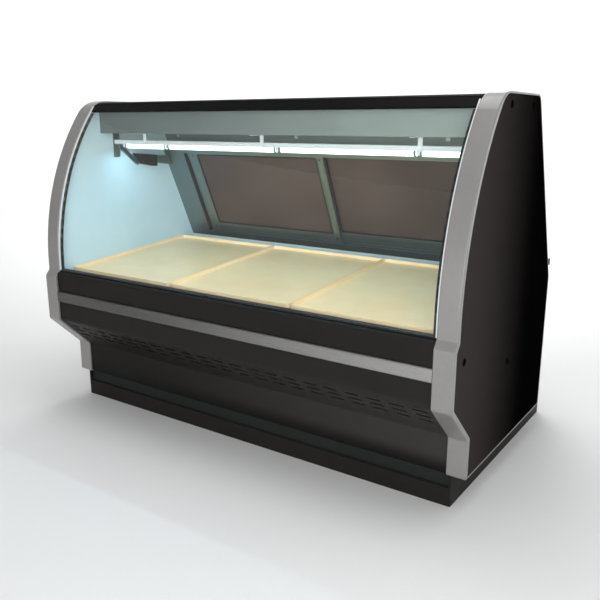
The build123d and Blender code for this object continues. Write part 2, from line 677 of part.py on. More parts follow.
screw_columns = (-ACCESS_HALF + 12, 0, ACCESS_HALF - 12)
screw_rows = (ACCESS_LOW + 10, ACCESS_HIGH - 10)
access_screws = [(x, z) for x in screw_columns for z in screw_rows]
screw_dx = CONTROL_W / 2 - 8
screw_dz = CONTROL_H / 2 - 8
control_screws = [(CONTROL_X + i * screw_dx, CONTROL_Z + j * screw_dz) for i in (-1, 1) for j in (-1, 1)]
HOUSING_FRONT = PANEL_BACK + 2
with BuildPart() as rear_housing:
    inner_half = BASE_HALF - SHEET
    block(-BASE_HALF, BASE_HALF, HOUSING_FRONT, HOUSING_BACK, BASE_H, LEDGE_TOP - SHEET)
    hollow_back = HOUSING_BACK - SHEET
    block(-inner_half, inner_half, HOUSING_FRONT, hollow_back, BASE_H, LEDGE_TOP - SHEET, Mode.SUBTRACT)
    way_in, way_low, way_high = ACCESS_HALF - 25, ACCESS_LOW + 22, ACCESS_HIGH - 22
    block(-way_in, way_in, HOUSING_BACK - 5, HOUSING_BACK, way_low, way_high, Mode.SUBTRACT)
    for sign in (-1, 1):
        edge_x = sorted((sign * BASE_HALF, sign * (INNER - 10)))
        block(edge_x[0], edge_x[1], HOUSING_FRONT, HOUSING_FRONT + SHEET, BASE_H, LEDGE_TOP - SHEET)
    hole_w, hole_h = CONTROL_W / 2 - 16, CONTROL_H / 2 - 16
    hole_x = (CONTROL_X - hole_w, CONTROL_X + hole_w)
    hole_z = (CONTROL_Z - hole_h, CONTROL_Z + hole_h)
    block(hole_x[0], hole_x[1], HOUSING_BACK - 5, HOUSING_BACK, hole_z[0], hole_z[1], Mode.SUBTRACT)
    along_y(GLAND_R + 0.2, GLAND_X, HOUSING_BACK - 5, HOUSING_BACK, GLAND_Z, Mode.SUBTRACT)
    for screw_x, screw_z in access_screws + control_screws:
        along_y(SCREW_HOLE_R, screw_x, HOUSING_BACK - 5, HOUSING_BACK, screw_z, Mode.SUBTRACT)
finish(rear_housing, "rear_housing")

with BuildPart() as rear_access_panel:
    block(-ACCESS_HALF, ACCESS_HALF, HOUSING_BACK, HOUSING_BACK + SHEET, ACCESS_LOW, ACCESS_HIGH)
    with Locations(Location((0, HOUSING_BACK - DEPTH / 2, LOUVRE_Z), (90, 0, 0))):
        with GridLocations(150, 24, 8, 9):
            Box(110, 8, 10, mode=Mode.SUBTRACT)
    for screw_x, screw_z in access_screws:
        along_y(SCREW_HOLE_R, screw_x, HOUSING_BACK - 2, HOUSING_BACK + 4, screw_z, Mode.SUBTRACT)
finish(rear_access_panel, "rear_access_panel")

with BuildPart() as control_box:
    half_w, half_h = CONTROL_W / 2, CONTROL_H / 2
    face_x = (CONTROL_X - half_w, CONTROL_X + half_w)
    block(face_x[0], face_x[1], HOUSING_BACK, CONTROL_FACE, CONTROL_Z - half_h, CONTROL_Z + half_h)
    for wall, front_d, mode in ((1, HOUSING_BACK - 50, Mode.ADD), (3, HOUSING_BACK - 48, Mode.SUBTRACT)):
        x0, x1 = hole_x[0] + wall, hole_x[1] - wall
        block(x0, x1, front_d, HOUSING_BACK, hole_z[0] + wall, hole_z[1] - wall, mode)
    with Locations((SWITCH_X, HOUSING_BACK - DEPTH / 2, CONTROL_Z)):
        Box(SWITCH_HOLE[0], 12, SWITCH_HOLE[1], mode=Mode.SUBTRACT)
    pin_end = SWITCH_HOLE[0] / 2 + 3
    along_x(SWITCH_PIN_R + 0.15, SWITCH_X - pin_end, SWITCH_X + pin_end, PIVOT_D, CONTROL_Z, Mode.SUBTRACT)
    shaft_hole_r = KNOB_SHAFT_R + HINGE_CLEARANCE
    along_y(shaft_hole_r, KNOB_X, HOUSING_BACK - 2, CONTROL_FACE, CONTROL_Z, Mode.SUBTRACT)
    for screw_x, screw_z in control_screws:
        along_y(SCREW_HOLE_R, screw_x, HOUSING_BACK - 2, HOUSING_BACK + 4, screw_z, Mode.SUBTRACT)
finish(control_box, "control_box")

with BuildPart() as light_switch:
    tilt = radians(SWITCH_TILT)
    rocker = ((-12, -8), (1, -14.5), (5.5, 0), (1, 14.5), (-12, 8))
    tilted = [
        (PIVOT_D + d * cos(tilt) - z * sin(tilt), CONTROL_Z + d * sin(tilt) + z * cos(tilt)) for d, z in rocker
    ]
    profile_run(tilted, SWITCH_X - SWITCH_HALF, SWITCH_X + SWITCH_HALF)
    fillet(light_switch.edges().filter_by(Axis.X), 1)
    along_x(SWITCH_PIN_R, SWITCH_X - pin_end + 0.5, SWITCH_X + pin_end - 0.5, PIVOT_D, CONTROL_Z)
finish(light_switch, "light_switch")

with BuildPart() as thermostat_knob:
    knob_d = CONTROL_FACE + 0.7
    along_y(KNOB_SHAFT_R, KNOB_X, HOUSING_BACK - 34, knob_d, CONTROL_Z)
    along_y(KNOB_R, KNOB_X, knob_d, knob_d + 14, CONTROL_Z)
    fillet(thermostat_knob.edges().filter_by(GeomType.CIRCLE).group_by(Axis.Y)[-1], 2)
    block(KNOB_X - 2, KNOB_X + 2, knob_d + 14, knob_d + 16, CONTROL_Z - 2, CONTROL_Z + KNOB_R - 2)
finish(thermostat_knob, "thermostat_knob")

with BuildPart() as panel_screws:
    seats = [(x, z, HOUSING_BACK + SHEET) for x, z in access_screws]
    seats += [(x, z, CONTROL_FACE) for x, z in control_screws]
    for screw_x, screw_z, seat_d in seats:
        along_y(SCREW_R, screw_x, seat_d - 12, seat_d, screw_z)
        along_y(SCREW_HEAD_R, screw_x, seat_d, seat_d + SCREW_HEAD_H, screw_z)
finish(panel_screws, "panel_screws")

with BuildPart() as cable_gland:
    gland_back = HOUSING_BACK + 20
    along_y(GLAND_R, GLAND_X, HOUSING_BACK - 14, HOUSING_BACK, GLAND_Z)
    with BuildSketch(Plane(origin=(GLAND_X, HOUSING_BACK - DEPTH / 2, GLAND_Z), z_dir=(0, 1, 0))):
        RegularPolygon(14.5, 6)
    extrude(amount=8)
    along_y(GLAND_R, GLAND_X, HOUSING_BACK + 8, gland_back, GLAND_Z)
    along_y(5, GLAND_X, HOUSING_BACK - 14, gland_back, GLAND_Z, Mode.SUBTRACT)
    end_circles = cable_gland.edges().filter_by(GeomType.CIRCLE).group_by(Axis.Y)[-1]
    fillet(end_circles.sort_by(SortBy.RADIUS)[-1], 4)
finish(cable_gland, "cable_gland")

# ---------------------------------------------------------------- evaporator and its fans


def pipe_loop(length):
    """Pipe in a closed loop: two straight passes along X, joined by a bend at each end."""
    half = length / 2
    reach = half + PASS_HALF
    with BuildPart() as loop:
        with BuildLine() as route:
            Line((0, -PASS_HALF), (half, -PASS_HALF))
            ThreePointArc((half, -PASS_HALF), (reach, 0), (half, PASS_HALF))
            Line((half, PASS_HALF), (-half, PASS_HALF))
            ThreePointArc((-half, PASS_HALF), (-reach, 0), (-half, -PASS_HALF))
            Line((-half, -PASS_HALF), (0, -PASS_HALF))
        with BuildSketch(Plane(origin=(0, -PASS_HALF, 0), z_dir=(1, 0, 0))) as section:
            Circle(PIPE_R)
        sweep(section.sketch, path=route.line)
    return loop.part


def finned_coil(loop, x0, x1, d0, d1, z0, z1, pitch, passes_d, passes_z, plate):
    """Fins and end plates across a stack of pipe loops."""
    middle_x = (x0 + x1) / 2
    middle_y = (d0 + d1 - DEPTH) / 2
    with Locations((middle_x, middle_y, (z0 + z1) / 2)):
        with GridLocations(pitch, 1, int((x1 - x0) / pitch), 1):
            Box(FIN_T, d1 - d0, z1 - z0)
    plate_z = (plate[0] + plate[1]) / 2
    with Locations((x0 - 1, middle_y, plate_z), (x1 + 1, middle_y, plate_z)):
        Box(2, d1 - d0 + 10, plate[1] - plate[0])
    with Locations(*[(middle_x, d - DEPTH / 2, z) for d in passes_d for z in passes_z]):
        add(loop)


evaporator_pipe = pipe_loop(2 * COIL_HALF + 2 * BEND_OUT)
with BuildPart() as evaporator_coil:
    finned_coil(
        evaporator_pipe,
        -COIL_HALF,
        COIL_HALF,
        COIL_FRONT,
        COIL_BACK,
        498,
        592,
        COIL_FIN_PITCH,
        (530, 570, 610),
        (517, 563),
        (TANK_FLOOR + LINER, 598),
    )
finish(evaporator_coil, "evaporator_coil")

with BuildPart() as evaporator_plenum:
    plenum_path = ((PLENUM_D, TANK_FLOOR + LINER), (PLENUM_D, 594), (COIL_FRONT, 594))
    bent_sheet(plenum_path, 3, Side.RIGHT, -COIL_HALF, COIL_HALF)
    for fan_x in EVAP_FANS_X:
        along_y(EVAP_PORT_R, fan_x, PLENUM_D - 2, PLENUM_D + 4, EVAP_FAN_Z, Mode.SUBTRACT)
finish(evaporator_plenum, "evaporator_plenum")

with BuildPart() as evaporator_fan_motors:
    for fan_x in EVAP_FANS_X:
        block(fan_x - 72, fan_x + 72, PLENUM_D + SHEET, PLENUM_D + 5, EVAP_FAN_Z - 8, EVAP_FAN_Z + 8)
        along_y(24, fan_x, PLENUM_D + 5, PLENUM_D + 48, EVAP_FAN_Z)
        bore_r = EVAP_SHAFT_R + SHAFT_CLEARANCE
        along_y(bore_r, fan_x, PLENUM_D + SHEET, PLENUM_D + 34, EVAP_FAN_Z, Mode.SUBTRACT)
finish(evaporator_fan_motors, "evaporator_fan_motors")


def fan(x, front_d, z, hub_r, tip_r, hub_len, blade_w, blades, shaft_r, shaft_len, blade_t=1.6, pitch=28):
    """Axial fan on its shaft, the shaft running backwards from the hub."""
    along_y(hub_r, x, front_d, front_d + hub_len, z)
    fillet(edges().filter_by(GeomType.CIRCLE).group_by(Axis.Y)[0], 2)
    along_y(shaft_r, x, front_d + hub_len, front_d + hub_len + shaft_len, z)
    blade_root = hub_r - 2
    rotor = Plane(origin=(x, front_d + hub_len / 2 - DEPTH / 2, z), x_dir=(1, 0, 0), z_dir=(0, -1, 0))
    with Locations(rotor):
        with PolarLocations((blade_root + tip_r) / 2, blades):
            with Locations(Location((0, 0, 0), (pitch, 0, 0))):
                Box(tip_r - blade_root, blade_w, blade_t)


for side, fan_x in zip(("left", "right"), EVAP_FANS_X):
    with BuildPart() as evaporator_fan:
        fan(fan_x, PLENUM_D - 16, EVAP_FAN_Z, 15, EVAP_FAN_R, 16, 26, 5, EVAP_SHAFT_R, 30)
    finish(evaporator_fan, f"evaporator_fan_{side}")

# ---------------------------------------------------------------- deck supports and lift-out pans
with BuildPart() as deck_supports:
    floor_z = TANK_FLOOR + LINER
    front_d, back_d = DECK_FRONT[0], DECK_BACK[0]
    front_rail = (
        (front_d + 2, floor_z),
        (front_d + 4, floor_z),
        (front_d + 4, deck_z(front_d + 4) - 2 - PAN_REST_GAP),
        (front_d + 24, deck_z(front_d + 24) - 2 - PAN_REST_GAP),
        (front_d + 24, deck_z(front_d + 24) - PAN_REST_GAP),
        (front_d + 2, deck_z(front_d + 2) - PAN_REST_GAP),
    )
    back_rail = (
        (back_d, floor_z),
        (back_d + 2, floor_z),
        (back_d + 2, deck_z(back_d + 2) - PAN_REST_GAP),
        (back_d - 22, deck_z(back_d - 22) - PAN_REST_GAP),
        (back_d - 22, deck_z(back_d - 22) - 2 - PAN_REST_GAP),
        (back_d, deck_z(back_d) - 2 - PAN_REST_GAP),
    )
    profile_run(front_rail, -GRILLE_X, GRILLE_X)
    profile_run(back_rail, -GRILLE_X, GRILLE_X)
    for rail_d in (front_d + 3, back_d + 1):
        with Locations((0, rail_d - DEPTH / 2, 545)):
            with GridLocations(215, 1, 8, 1):
                Box(170, 10, 55, mode=Mode.SUBTRACT)
finish(deck_supports, "deck_supports")

deck_plane = Plane(
    origin=(0, DECK_FRONT[0] - DEPTH / 2, DECK_FRONT[1]),
    x_dir=(1, 0, 0),
    z_dir=(0, -DECK_SLOPE, 1),
)
pan_length = ((DECK_BACK[0] - DECK_FRONT[0]) ** 2 + (DECK_BACK[1] - DECK_FRONT[1]) ** 2) ** 0.5
pan_pitch = 2 * (INNER - 1) / PAN_COUNT
pan_width = pan_pitch - PAN_GAP
for index, side in enumerate(("left", "centre", "right")):
    pan_middle = ((index - 1) * pan_pitch, pan_length / 2)
    with BuildPart() as deck_pan:
        with BuildSketch(deck_plane):
            with Locations(pan_middle):
                RectangleRounded(pan_width, pan_length, 12)
        extrude(amount=PAN_RIM)
        with BuildSketch(deck_plane.offset(PAN_SHEET)):
            with Locations(pan_middle):
                RectangleRounded(pan_width - 2 * PAN_SHEET, pan_length - 2 * PAN_SHEET, 10)
        extrude(amount=PAN_RIM, mode=Mode.SUBTRACT)
    finish(deck_pan, f"deck_pan_{side}")

# ---------------------------------------------------------------- condensing unit
UNIT_LOW = BASE_H
UNIT_TOP = UNIT_LOW + 3
with BuildPart() as condensing_unit_base:
    block(-350, 300, 245, 880, UNIT_LOW, UNIT_TOP)
    block(-350, 300, 245, 248, UNIT_TOP, UNIT_TOP + 14)
    block(-350, 300, 877, 880, UNIT_TOP, UNIT_TOP + 14)
finish(condensing_unit_base, "condensing_unit_base")

with BuildPart() as compressor:
    upright(COMPRESSOR_R, COMPRESSOR_X, COMPRESSOR_D, 132, 352)
    fillet(compressor.edges().filter_by(GeomType.CIRCLE), 48)
    upright(COMPRESSOR_R + 3, COMPRESSOR_X, COMPRESSOR_D, 232, 238)
    block(COMPRESSOR_X - 100, COMPRESSOR_X + 100, COMPRESSOR_D - 80, COMPRESSOR_D + 80, 126, 140)
    with Locations((COMPRESSOR_X, COMPRESSOR_D - DEPTH / 2, (UNIT_TOP + 126) / 2)):
        with GridLocations(164, 124, 2, 2):
            Cylinder(13, 126 - UNIT_TOP)
    along_x(11, COMPRESSOR_X, COMPRESSOR_X + COMPRESSOR_R + 12, COMPRESSOR_D, SUCTION_Z)
    along_y(8, COMPRESSOR_X, COMPRESSOR_D - COMPRESSOR_R - 12, COMPRESSOR_D, DISCHARGE_Z)
finish(compressor, "compressor")

condenser_x0 = CONDENSER_X - CONDENSER_HALF
condenser_x1 = CONDENSER_X + CONDENSER_HALF
condenser_back = CONDENSER_FRONT + CONDENSER_T
condenser_middle = (CONDENSER_FRONT + condenser_back) / 2
condenser_pipe = pipe_loop(2 * CONDENSER_HALF - 4 + 2 * BEND_OUT)
with BuildPart() as condenser_coil:
    finned_coil(
        condenser_pipe,
        condenser_x0 + 2,
        condenser_x1 - 2,
        CONDENSER_FRONT + 5,
        condenser_back - 5,
        UNIT_TOP + 4,
        CONDENSER_HIGH - 4,
        CONDENSER_FIN_PITCH,
        (condenser_middle,),
        range(145, 350, 50),
        (UNIT_TOP, CONDENSER_HIGH),
    )
finish(condenser_coil, "condenser_coil")

with BuildPart() as condenser_shroud:
    shroud_back = condenser_back + 38
    block(condenser_x0, condenser_x1, condenser_back, shroud_back, UNIT_TOP, CONDENSER_HIGH)
    x0, x1 = condenser_x0 + 2, condenser_x1 - 2
    block(x0, x1, condenser_back, shroud_back - 2, UNIT_TOP + 2, CONDENSER_HIGH - 2, Mode.SUBTRACT)
    along_y(COND_PORT_R, CONDENSER_X, shroud_back - 4, shroud_back, CONDENSER_Z, Mode.SUBTRACT)
finish(condenser_shroud, "condenser_shroud")

with BuildPart() as condenser_fan:
    fan(CONDENSER_X, shroud_back - 16, CONDENSER_Z, 24, COND_FAN_R, 24, 52, 5, COND_SHAFT_R, 46, 2, 26)
finish(condenser_fan, "condenser_fan")

with BuildPart() as condenser_fan_motor:
    motor_d = shroud_back + 14
    along_y(40, CONDENSER_X, motor_d, motor_d + 76, CONDENSER_Z)
    fillet(condenser_fan_motor.edges().filter_by(GeomType.CIRCLE), 6)
    block(CONDENSER_X - 26, CONDENSER_X + 26, motor_d + 18, motor_d + 58, UNIT_TOP, CONDENSER_Z - 20)
    block(CONDENSER_X - 50, CONDENSER_X + 50, motor_d + 12, motor_d + 64, UNIT_TOP, UNIT_TOP + 4)
    along_y(COND_SHAFT_R + SHAFT_CLEARANCE, CONDENSER_X, motor_d, motor_d + 50, CONDENSER_Z, Mode.SUBTRACT)
finish(condenser_fan_motor, "condenser_fan_motor")

with BuildPart() as refrigerant_lines:
    suction_start = COMPRESSOR_X + COMPRESSOR_R + 12
    discharge_d = COMPRESSOR_D - COMPRESSOR_R - 12
    coil_end = COIL_HALF + 2
    suction = (
        (suction_start, COMPRESSOR_D, SUCTION_Z),
        (SUCTION_X, COMPRESSOR_D, SUCTION_Z),
        (SUCTION_X, COMPRESSOR_D, 538),
        (coil_end, COMPRESSOR_D, 538),
    )
    liquid = (
        (condenser_x1, LIQUID_D - 18, 320),
        (LIQUID_X, LIQUID_D - 18, 320),
        (LIQUID_X, LIQUID_D, 400),
        (LIQUID_X, LIQUID_D, 488),
        (LIQUID_X, 590, 488),
        (coil_end, 590, 488),
    )
    discharge = (
        (COMPRESSOR_X, discharge_d, DISCHARGE_Z),
        (COMPRESSOR_X, LIQUID_D - 18, DISCHARGE_Z),
        (condenser_x1, LIQUID_D - 18, DISCHARGE_Z),
    )
    tube_run(suction, 8, 30)
    tube_run(liquid, 5, 12)
    tube_run(discharge, 5, 30)
finish(refrigerant_lines, "refrigerant_lines")

with BuildPart() as drain_pipe:
    drain = (
        (DRAIN_X, DRAIN_D, TANK_FLOOR),
        (DRAIN_X, DRAIN_D, 300),
        (DRAIN_X, DRAIN_OUTLET_D, 300),
        (DRAIN_X, DRAIN_OUTLET_D, 30),
    )
    tube_run(drain, 14, 40, 11)
finish(drain_pipe, "drain_pipe")
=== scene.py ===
"""Refrigerated deli case: finishes, fine pieces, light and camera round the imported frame. Metres, +Z up."""

import json
import math

import bmesh
import bpy
from mathutils import Matrix, Vector


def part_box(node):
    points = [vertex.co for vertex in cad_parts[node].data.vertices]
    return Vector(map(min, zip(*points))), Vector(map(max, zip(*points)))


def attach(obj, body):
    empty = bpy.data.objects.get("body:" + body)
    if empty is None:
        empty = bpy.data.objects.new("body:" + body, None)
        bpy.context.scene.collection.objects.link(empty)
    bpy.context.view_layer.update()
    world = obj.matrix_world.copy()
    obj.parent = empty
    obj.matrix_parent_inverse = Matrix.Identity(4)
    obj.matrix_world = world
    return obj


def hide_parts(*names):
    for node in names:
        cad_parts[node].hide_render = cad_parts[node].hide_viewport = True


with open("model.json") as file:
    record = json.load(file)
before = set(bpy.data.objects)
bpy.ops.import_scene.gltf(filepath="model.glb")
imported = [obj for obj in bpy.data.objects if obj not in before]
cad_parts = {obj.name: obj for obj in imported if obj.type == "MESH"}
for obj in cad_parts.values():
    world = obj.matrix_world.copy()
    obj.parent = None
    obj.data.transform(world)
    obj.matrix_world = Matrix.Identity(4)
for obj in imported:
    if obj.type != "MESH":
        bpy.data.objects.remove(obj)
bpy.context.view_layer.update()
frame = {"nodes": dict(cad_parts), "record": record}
MM = 0.001

# ---------------------------------------------------------------- camera
CAMERA_PLACE = Vector((1.678, -2.405, 1.235))
CAMERA_AIM = Vector((-0.5507, 0.7980, -0.2445))
CAMERA_LENS = 42.13

camera = bpy.data.objects.new("camera", bpy.data.cameras.new("camera"))
bpy.context.scene.collection.objects.link(camera)
camera.location = CAMERA_PLACE
camera.rotation_euler = CAMERA_AIM.to_track_quat("-Z", "Y").to_euler()
camera.data.lens = CAMERA_LENS
camera.data.sensor_width = 36
bpy.context.scene.camera = camera
bpy.context.scene.view_settings.view_transform = "Standard"


# ---------------------------------------------------------------- procedural finishes
ORANGE_PEEL = 0.0035  # metres between the humps of a powder coat
SPECK = 0.0022
STREAK_WIDTH = 0.0009  # of brushed metal
STREAK_STRETCH = 160


class Finish:
    """One Principled material. Pattern sizes are in metres, laid in the object's own coordinates."""

    def __init__(self, name, **sockets):
        self.material = bpy.data.materials.new(name)
        self.material.use_nodes = True
        self.tree = self.material.node_tree
        self.shader = self.tree.nodes["Principled BSDF"]
        self.output = self.tree.nodes["Material Output"]
        self.place = self.tree.nodes.new("ShaderNodeTexCoord").outputs["Object"]
        for key, value in sockets.items():
            self.shader.inputs[key.replace("_", " ")].default_value = value

    def link(self, source, target):
        self.tree.links.new(source, target)

    def mapped(self, size, stretch=(1, 1, 1)):
        """Coordinates scaled so that one unit of pattern is size metres, longer along an axis by stretch."""
        mapping = self.tree.nodes.new("ShaderNodeMapping")
        mapping.inputs["Scale"].default_value = [1 / (size * s) for s in stretch]
        self.link(self.place, mapping.inputs["Vector"])
        return mapping.outputs["Vector"]

    def noise(self, size, stretch=(1, 1, 1), detail=3):
        node = self.tree.nodes.new("ShaderNodeTexNoise")
        node.inputs["Scale"].default_value = 1
        node.inputs["Detail"].default_value = detail
        self.link(self.mapped(size, stretch), node.inputs["Vector"])
        return node.outputs["Fac"]

    def brushing(self, axis):
        """Fine streaks along an axis: 0 for X, 1 for Y and 2 for Z."""
        stretch = [1, 1, 1]
        stretch[axis] = STREAK_STRETCH
        return self.noise(STREAK_WIDTH, stretch, detail=4)

    def cells(self, size):
        """A random grey for each cell of a Voronoi pattern."""
        node = self.tree.nodes.new("ShaderNodeTexVoronoi")
        node.inputs["Scale"].default_value = 1
        self.link(self.mapped(size), node.inputs["Vector"])
        grey = self.tree.nodes.new("ShaderNodeRGBToBW")
        self.link(node.outputs["Color"], grey.inputs["Color"])
        return grey.outputs["Val"]

    def along(self, axis, low, high):
        """0 below low and 1 above high along X, Y or Z, in metres, with a soft step between."""
        split = self.tree.nodes.new("ShaderNodeSeparateXYZ")
        self.link(self.place, split.inputs["Vector"])
        return self.spread(split.outputs[axis], 0, 1, low, high)

    def spread(self, value, low, high, from_low=0.3, from_high=0.7):
        """Smooth step of a value: low up to from_low, and high from from_high on."""
        node = self.tree.nodes.new("ShaderNodeMapRange")
        node.interpolation_type = "SMOOTHSTEP"
        node.inputs["From Min"].default_value = from_low
        node.inputs["From Max"].default_value = from_high
        node.inputs["To Min"].default_value = low
        node.inputs["To Max"].default_value = high
        self.link(value, node.inputs["Value"])
        return node.outputs["Result"]

    def mix(self, factor, first, second):
        """Colour mix of two colours, each a colour or another mix."""
        node = self.tree.nodes.new("ShaderNodeMix")
        node.data_type = "RGBA"
        self.link(factor, node.inputs["Factor"])
        for color, socket in ((first, node.inputs["A"]), (second, node.inputs["B"])):
            if isinstance(color, bpy.types.NodeSocket):
                self.link(color, socket)
            else:
                socket.default_value = (*color, 1)
        return node.outputs["Result"]

    def colored(self, color):
        self.link(color, self.shader.inputs["Base Color"])
        return self

    def rough(self, value, low, high):
        self.link(self.spread(value, low, high), self.shader.inputs["Roughness"])
        return self

    def bumped(self, height, depth):
        """Relief of a depth in metres."""
        node = self.tree.nodes.new("ShaderNodeBump")
        node.inputs["Distance"].default_value = depth
        node.inputs["Strength"].default_value = 1.0
        self.link(height, node.inputs["Height"])
        self.link(node.outputs["Normal"], self.shader.inputs["Normal"])
        return self


def lighter(color, share):
    """The colour, brighter by a share, or darker if the share is below 0."""
    return tuple(min(1, c * (1 + share)) for c in color)


def powder_coat(name, roughness=(0.4, 0.52), **sockets):
    """Orange-peel relief and handling marks in the gloss of a powder coat, still without its colour."""
    coat = Finish(name, **sockets)
    coat.rough(coat.noise(0.05, detail=6), *roughness)
    return coat.bumped(coat.noise(ORANGE_PEEL, detail=2), 0.00008)


def painted(name, color, roughness=(0.4, 0.52), mottle=0.12, **sockets):
    """Powder-coated sheet with faint mottling and specks."""
    coat = powder_coat(name, roughness, **sockets)
    broad = coat.noise(0.16, detail=5)
    speck = coat.noise(SPECK)
    base = coat.mix(coat.spread(broad, 0, 1), lighter(color, -mottle), lighter(color, mottle))
    return coat.colored(coat.mix(coat.spread(speck, 0, 0.35, 0.5, 0.75), base, lighter(color, mottle * 2)))


def brushed(name, color, grain_axis, roughness=(0.26, 0.42), mottle=0.1):
    """Metal with fine brushing along one axis and slow changes of tone."""
    metal = Finish(name, Metallic=1.0)
    streaks = metal.brushing(grain_axis)
    broad = metal.noise(0.2, detail=3)
    base = metal.mix(metal.spread(streaks, 0, 1), lighter(color, -mottle), lighter(color, mottle))
    metal.colored(metal.mix(metal.spread(broad, 0, 0.5), base, lighter(color, -mottle)))
    metal.rough(streaks, *roughness)
    return metal.bumped(streaks, 0.00003)


def moulded(name, color, roughness=(0.38, 0.5), grain=0.0012, mottle=0.05, **sockets):
    """Moulded plastic or rubber: fine grain, faint flow marks."""
    plastic = Finish(name, **sockets)
    flow = plastic.noise(0.07, (1, 1, 2.5), detail=4)
    plastic.colored(plastic.mix(plastic.spread(flow, 0, 1), lighter(color, -mottle), lighter(color, mottle)))
    plastic.rough(plastic.noise(0.02, detail=5), *roughness)
    return plastic.bumped(plastic.noise(grain, detail=2), 0.00006)


def black_steel():
    return painted("black_steel", (0.0165, 0.0152, 0.0142), (0.42, 0.5), 0.04, Specular_IOR_Level=0.06)


def kick_plate_dark():
    return painted("kick_plate_dark", (0.016, 0.018, 0.0175), (0.6, 0.75), 0.06, Specular_IOR_Level=0.1)


def black_aluminium():
    return painted("black_aluminium", (0.005, 0.005, 0.005), (0.35, 0.5), 0.05, Specular_IOR_Level=0.05)


def black_plastic():
    return moulded("black_plastic", (0.0045, 0.0045, 0.0045), (0.5, 0.65), Specular_IOR_Level=0.05)


def black_rubber():
    return moulded("black_rubber", (0.008, 0.008, 0.008), (0.6, 0.78), 0.0008, Specular_IOR_Level=0.12)


def panel_skin():
    """Matt black coating of the end panels; its tone stands in for light that falls off to the rear."""
    coat = Finish("panel_skin", Specular_IOR_Level=0.0)
    forward = coat.along("Y", 0.16, -0.52)
    speck = coat.spread(coat.noise(SPECK), 0, 0.35, 0.5, 0.75)
    base = coat.mix(forward, (0.0014, 0.0014, 0.0015), (0.041, 0.036, 0.034))
    coat.colored(coat.mix(coat.spread(speck, 0, 0.06, 0, 1), base, (0.030, 0.028, 0.027)))
    coat.rough(coat.noise(0.05, detail=6), 0.46, 0.54)
    return coat.bumped(coat.noise(ORANGE_PEEL, detail=2), 0.00006)


def apron_steel():
    """Black-coated lower front; its tone stands in for light from the right that leaves the foot dark."""
    coat = powder_coat("apron_steel", (0.42, 0.5), Specular_IOR_Level=0.06)
    broad = coat.spread(coat.noise(0.16, detail=5), 0, 1)
    left = coat.mix(broad, (0.0128, 0.0118, 0.0112), (0.0138, 0.0128, 0.0120))
    right = coat.mix(broad, (0.0370, 0.0340, 0.0325), (0.0395, 0.0365, 0.0345))
    lower = coat.mix(coat.along("X", -0.7, 0.95), left, right)
    upper = coat.mix(broad, (0.0178, 0.0165, 0.0155), (0.0192, 0.0178, 0.0168))
    whole = coat.mix(coat.along("Z", 0.36, 0.42), lower, upper)
    return coat.colored(coat.mix(coat.along("Z", 0.185, 0.125), whole, (0.0085, 0.0078, 0.0078)))


def grey_moulding():
    """Silver-grey lacquered moulding with a fine metallic fleck."""
    coat = Finish("grey_moulding", Metallic=0.15, Coat_Weight=0.4, Coat_Roughness=0.2)
    grey = (0.218, 0.212, 0.208)
    fleck = coat.cells(0.0011)
    base = coat.mix(coat.spread(coat.noise(0.22, detail=4), 0, 1), lighter(grey, -0.06), lighter(grey, 0.05))
    coat.colored(coat.mix(coat.spread(fleck, 0, 0.5, 0.55, 0.95), base, lighter(grey, 0.35)))
    coat.rough(coat.noise(0.03, detail=6), 0.34, 0.46)
    return coat.bumped(coat.noise(0.0028, detail=2), 0.00005)


def grey_bumper():
    """Brushed bumper rail; its tone stands in for light from the right."""
    rail = Finish("grey_bumper", Metallic=1.0)
    streaks = rail.brushing(0)
    grain = rail.spread(streaks, 0, 1)
    dull = rail.mix(grain, (0.125, 0.125, 0.121), (0.145, 0.145, 0.140))
    bright = rail.mix(grain, (0.34, 0.335, 0.325), (0.39, 0.385, 0.375))
    rail.colored(rail.mix(rail.along("X", -0.5, 0.9), dull, bright))
    rail.rough(streaks, 0.24, 0.34)
    return rail.bumped(streaks, 0.00003)


def grey_canopy():
    """Powder-coated canopy; its tone stands in for light from the right."""
    coat = powder_coat("grey_canopy")
    rightward = coat.along("X", -0.9, 0.9)
    broad = coat.spread(coat.noise(0.16, detail=5), 0, 1)
    left = coat.mix(broad, (0.080, 0.104, 0.100), (0.090, 0.116, 0.111))
    right = coat.mix(broad, (0.205, 0.235, 0.224), (0.225, 0.258, 0.246))
    return coat.colored(coat.mix(rightward, left, right))


def galvanised():
    """Zinc spangle."""
    metal = Finish("galvanised_steel", Metallic=1.0)
    spangle = metal.cells(0.011)
    metal.colored(metal.mix(spangle, (0.42, 0.45, 0.47), (0.62, 0.65, 0.67)))
    metal.rough(metal.noise(0.02, detail=5), 0.34, 0.55)
    return metal.bumped(spangle, 0.00003)


def lamp_glow():
    """Lit fluorescent tube with a faintly uneven powder inside."""
    tube = Finish("lamp", Roughness=0.3)
    tube.colored(tube.mix(tube.noise(0.05), (0.9, 0.95, 0.97), (0.97, 1, 1)))
    tube.shader.inputs["Emission Color"].default_value = (0.80, 0.95, 1.0, 1)
    tube.shader.inputs["Emission Strength"].default_value = 2.2
    return tube


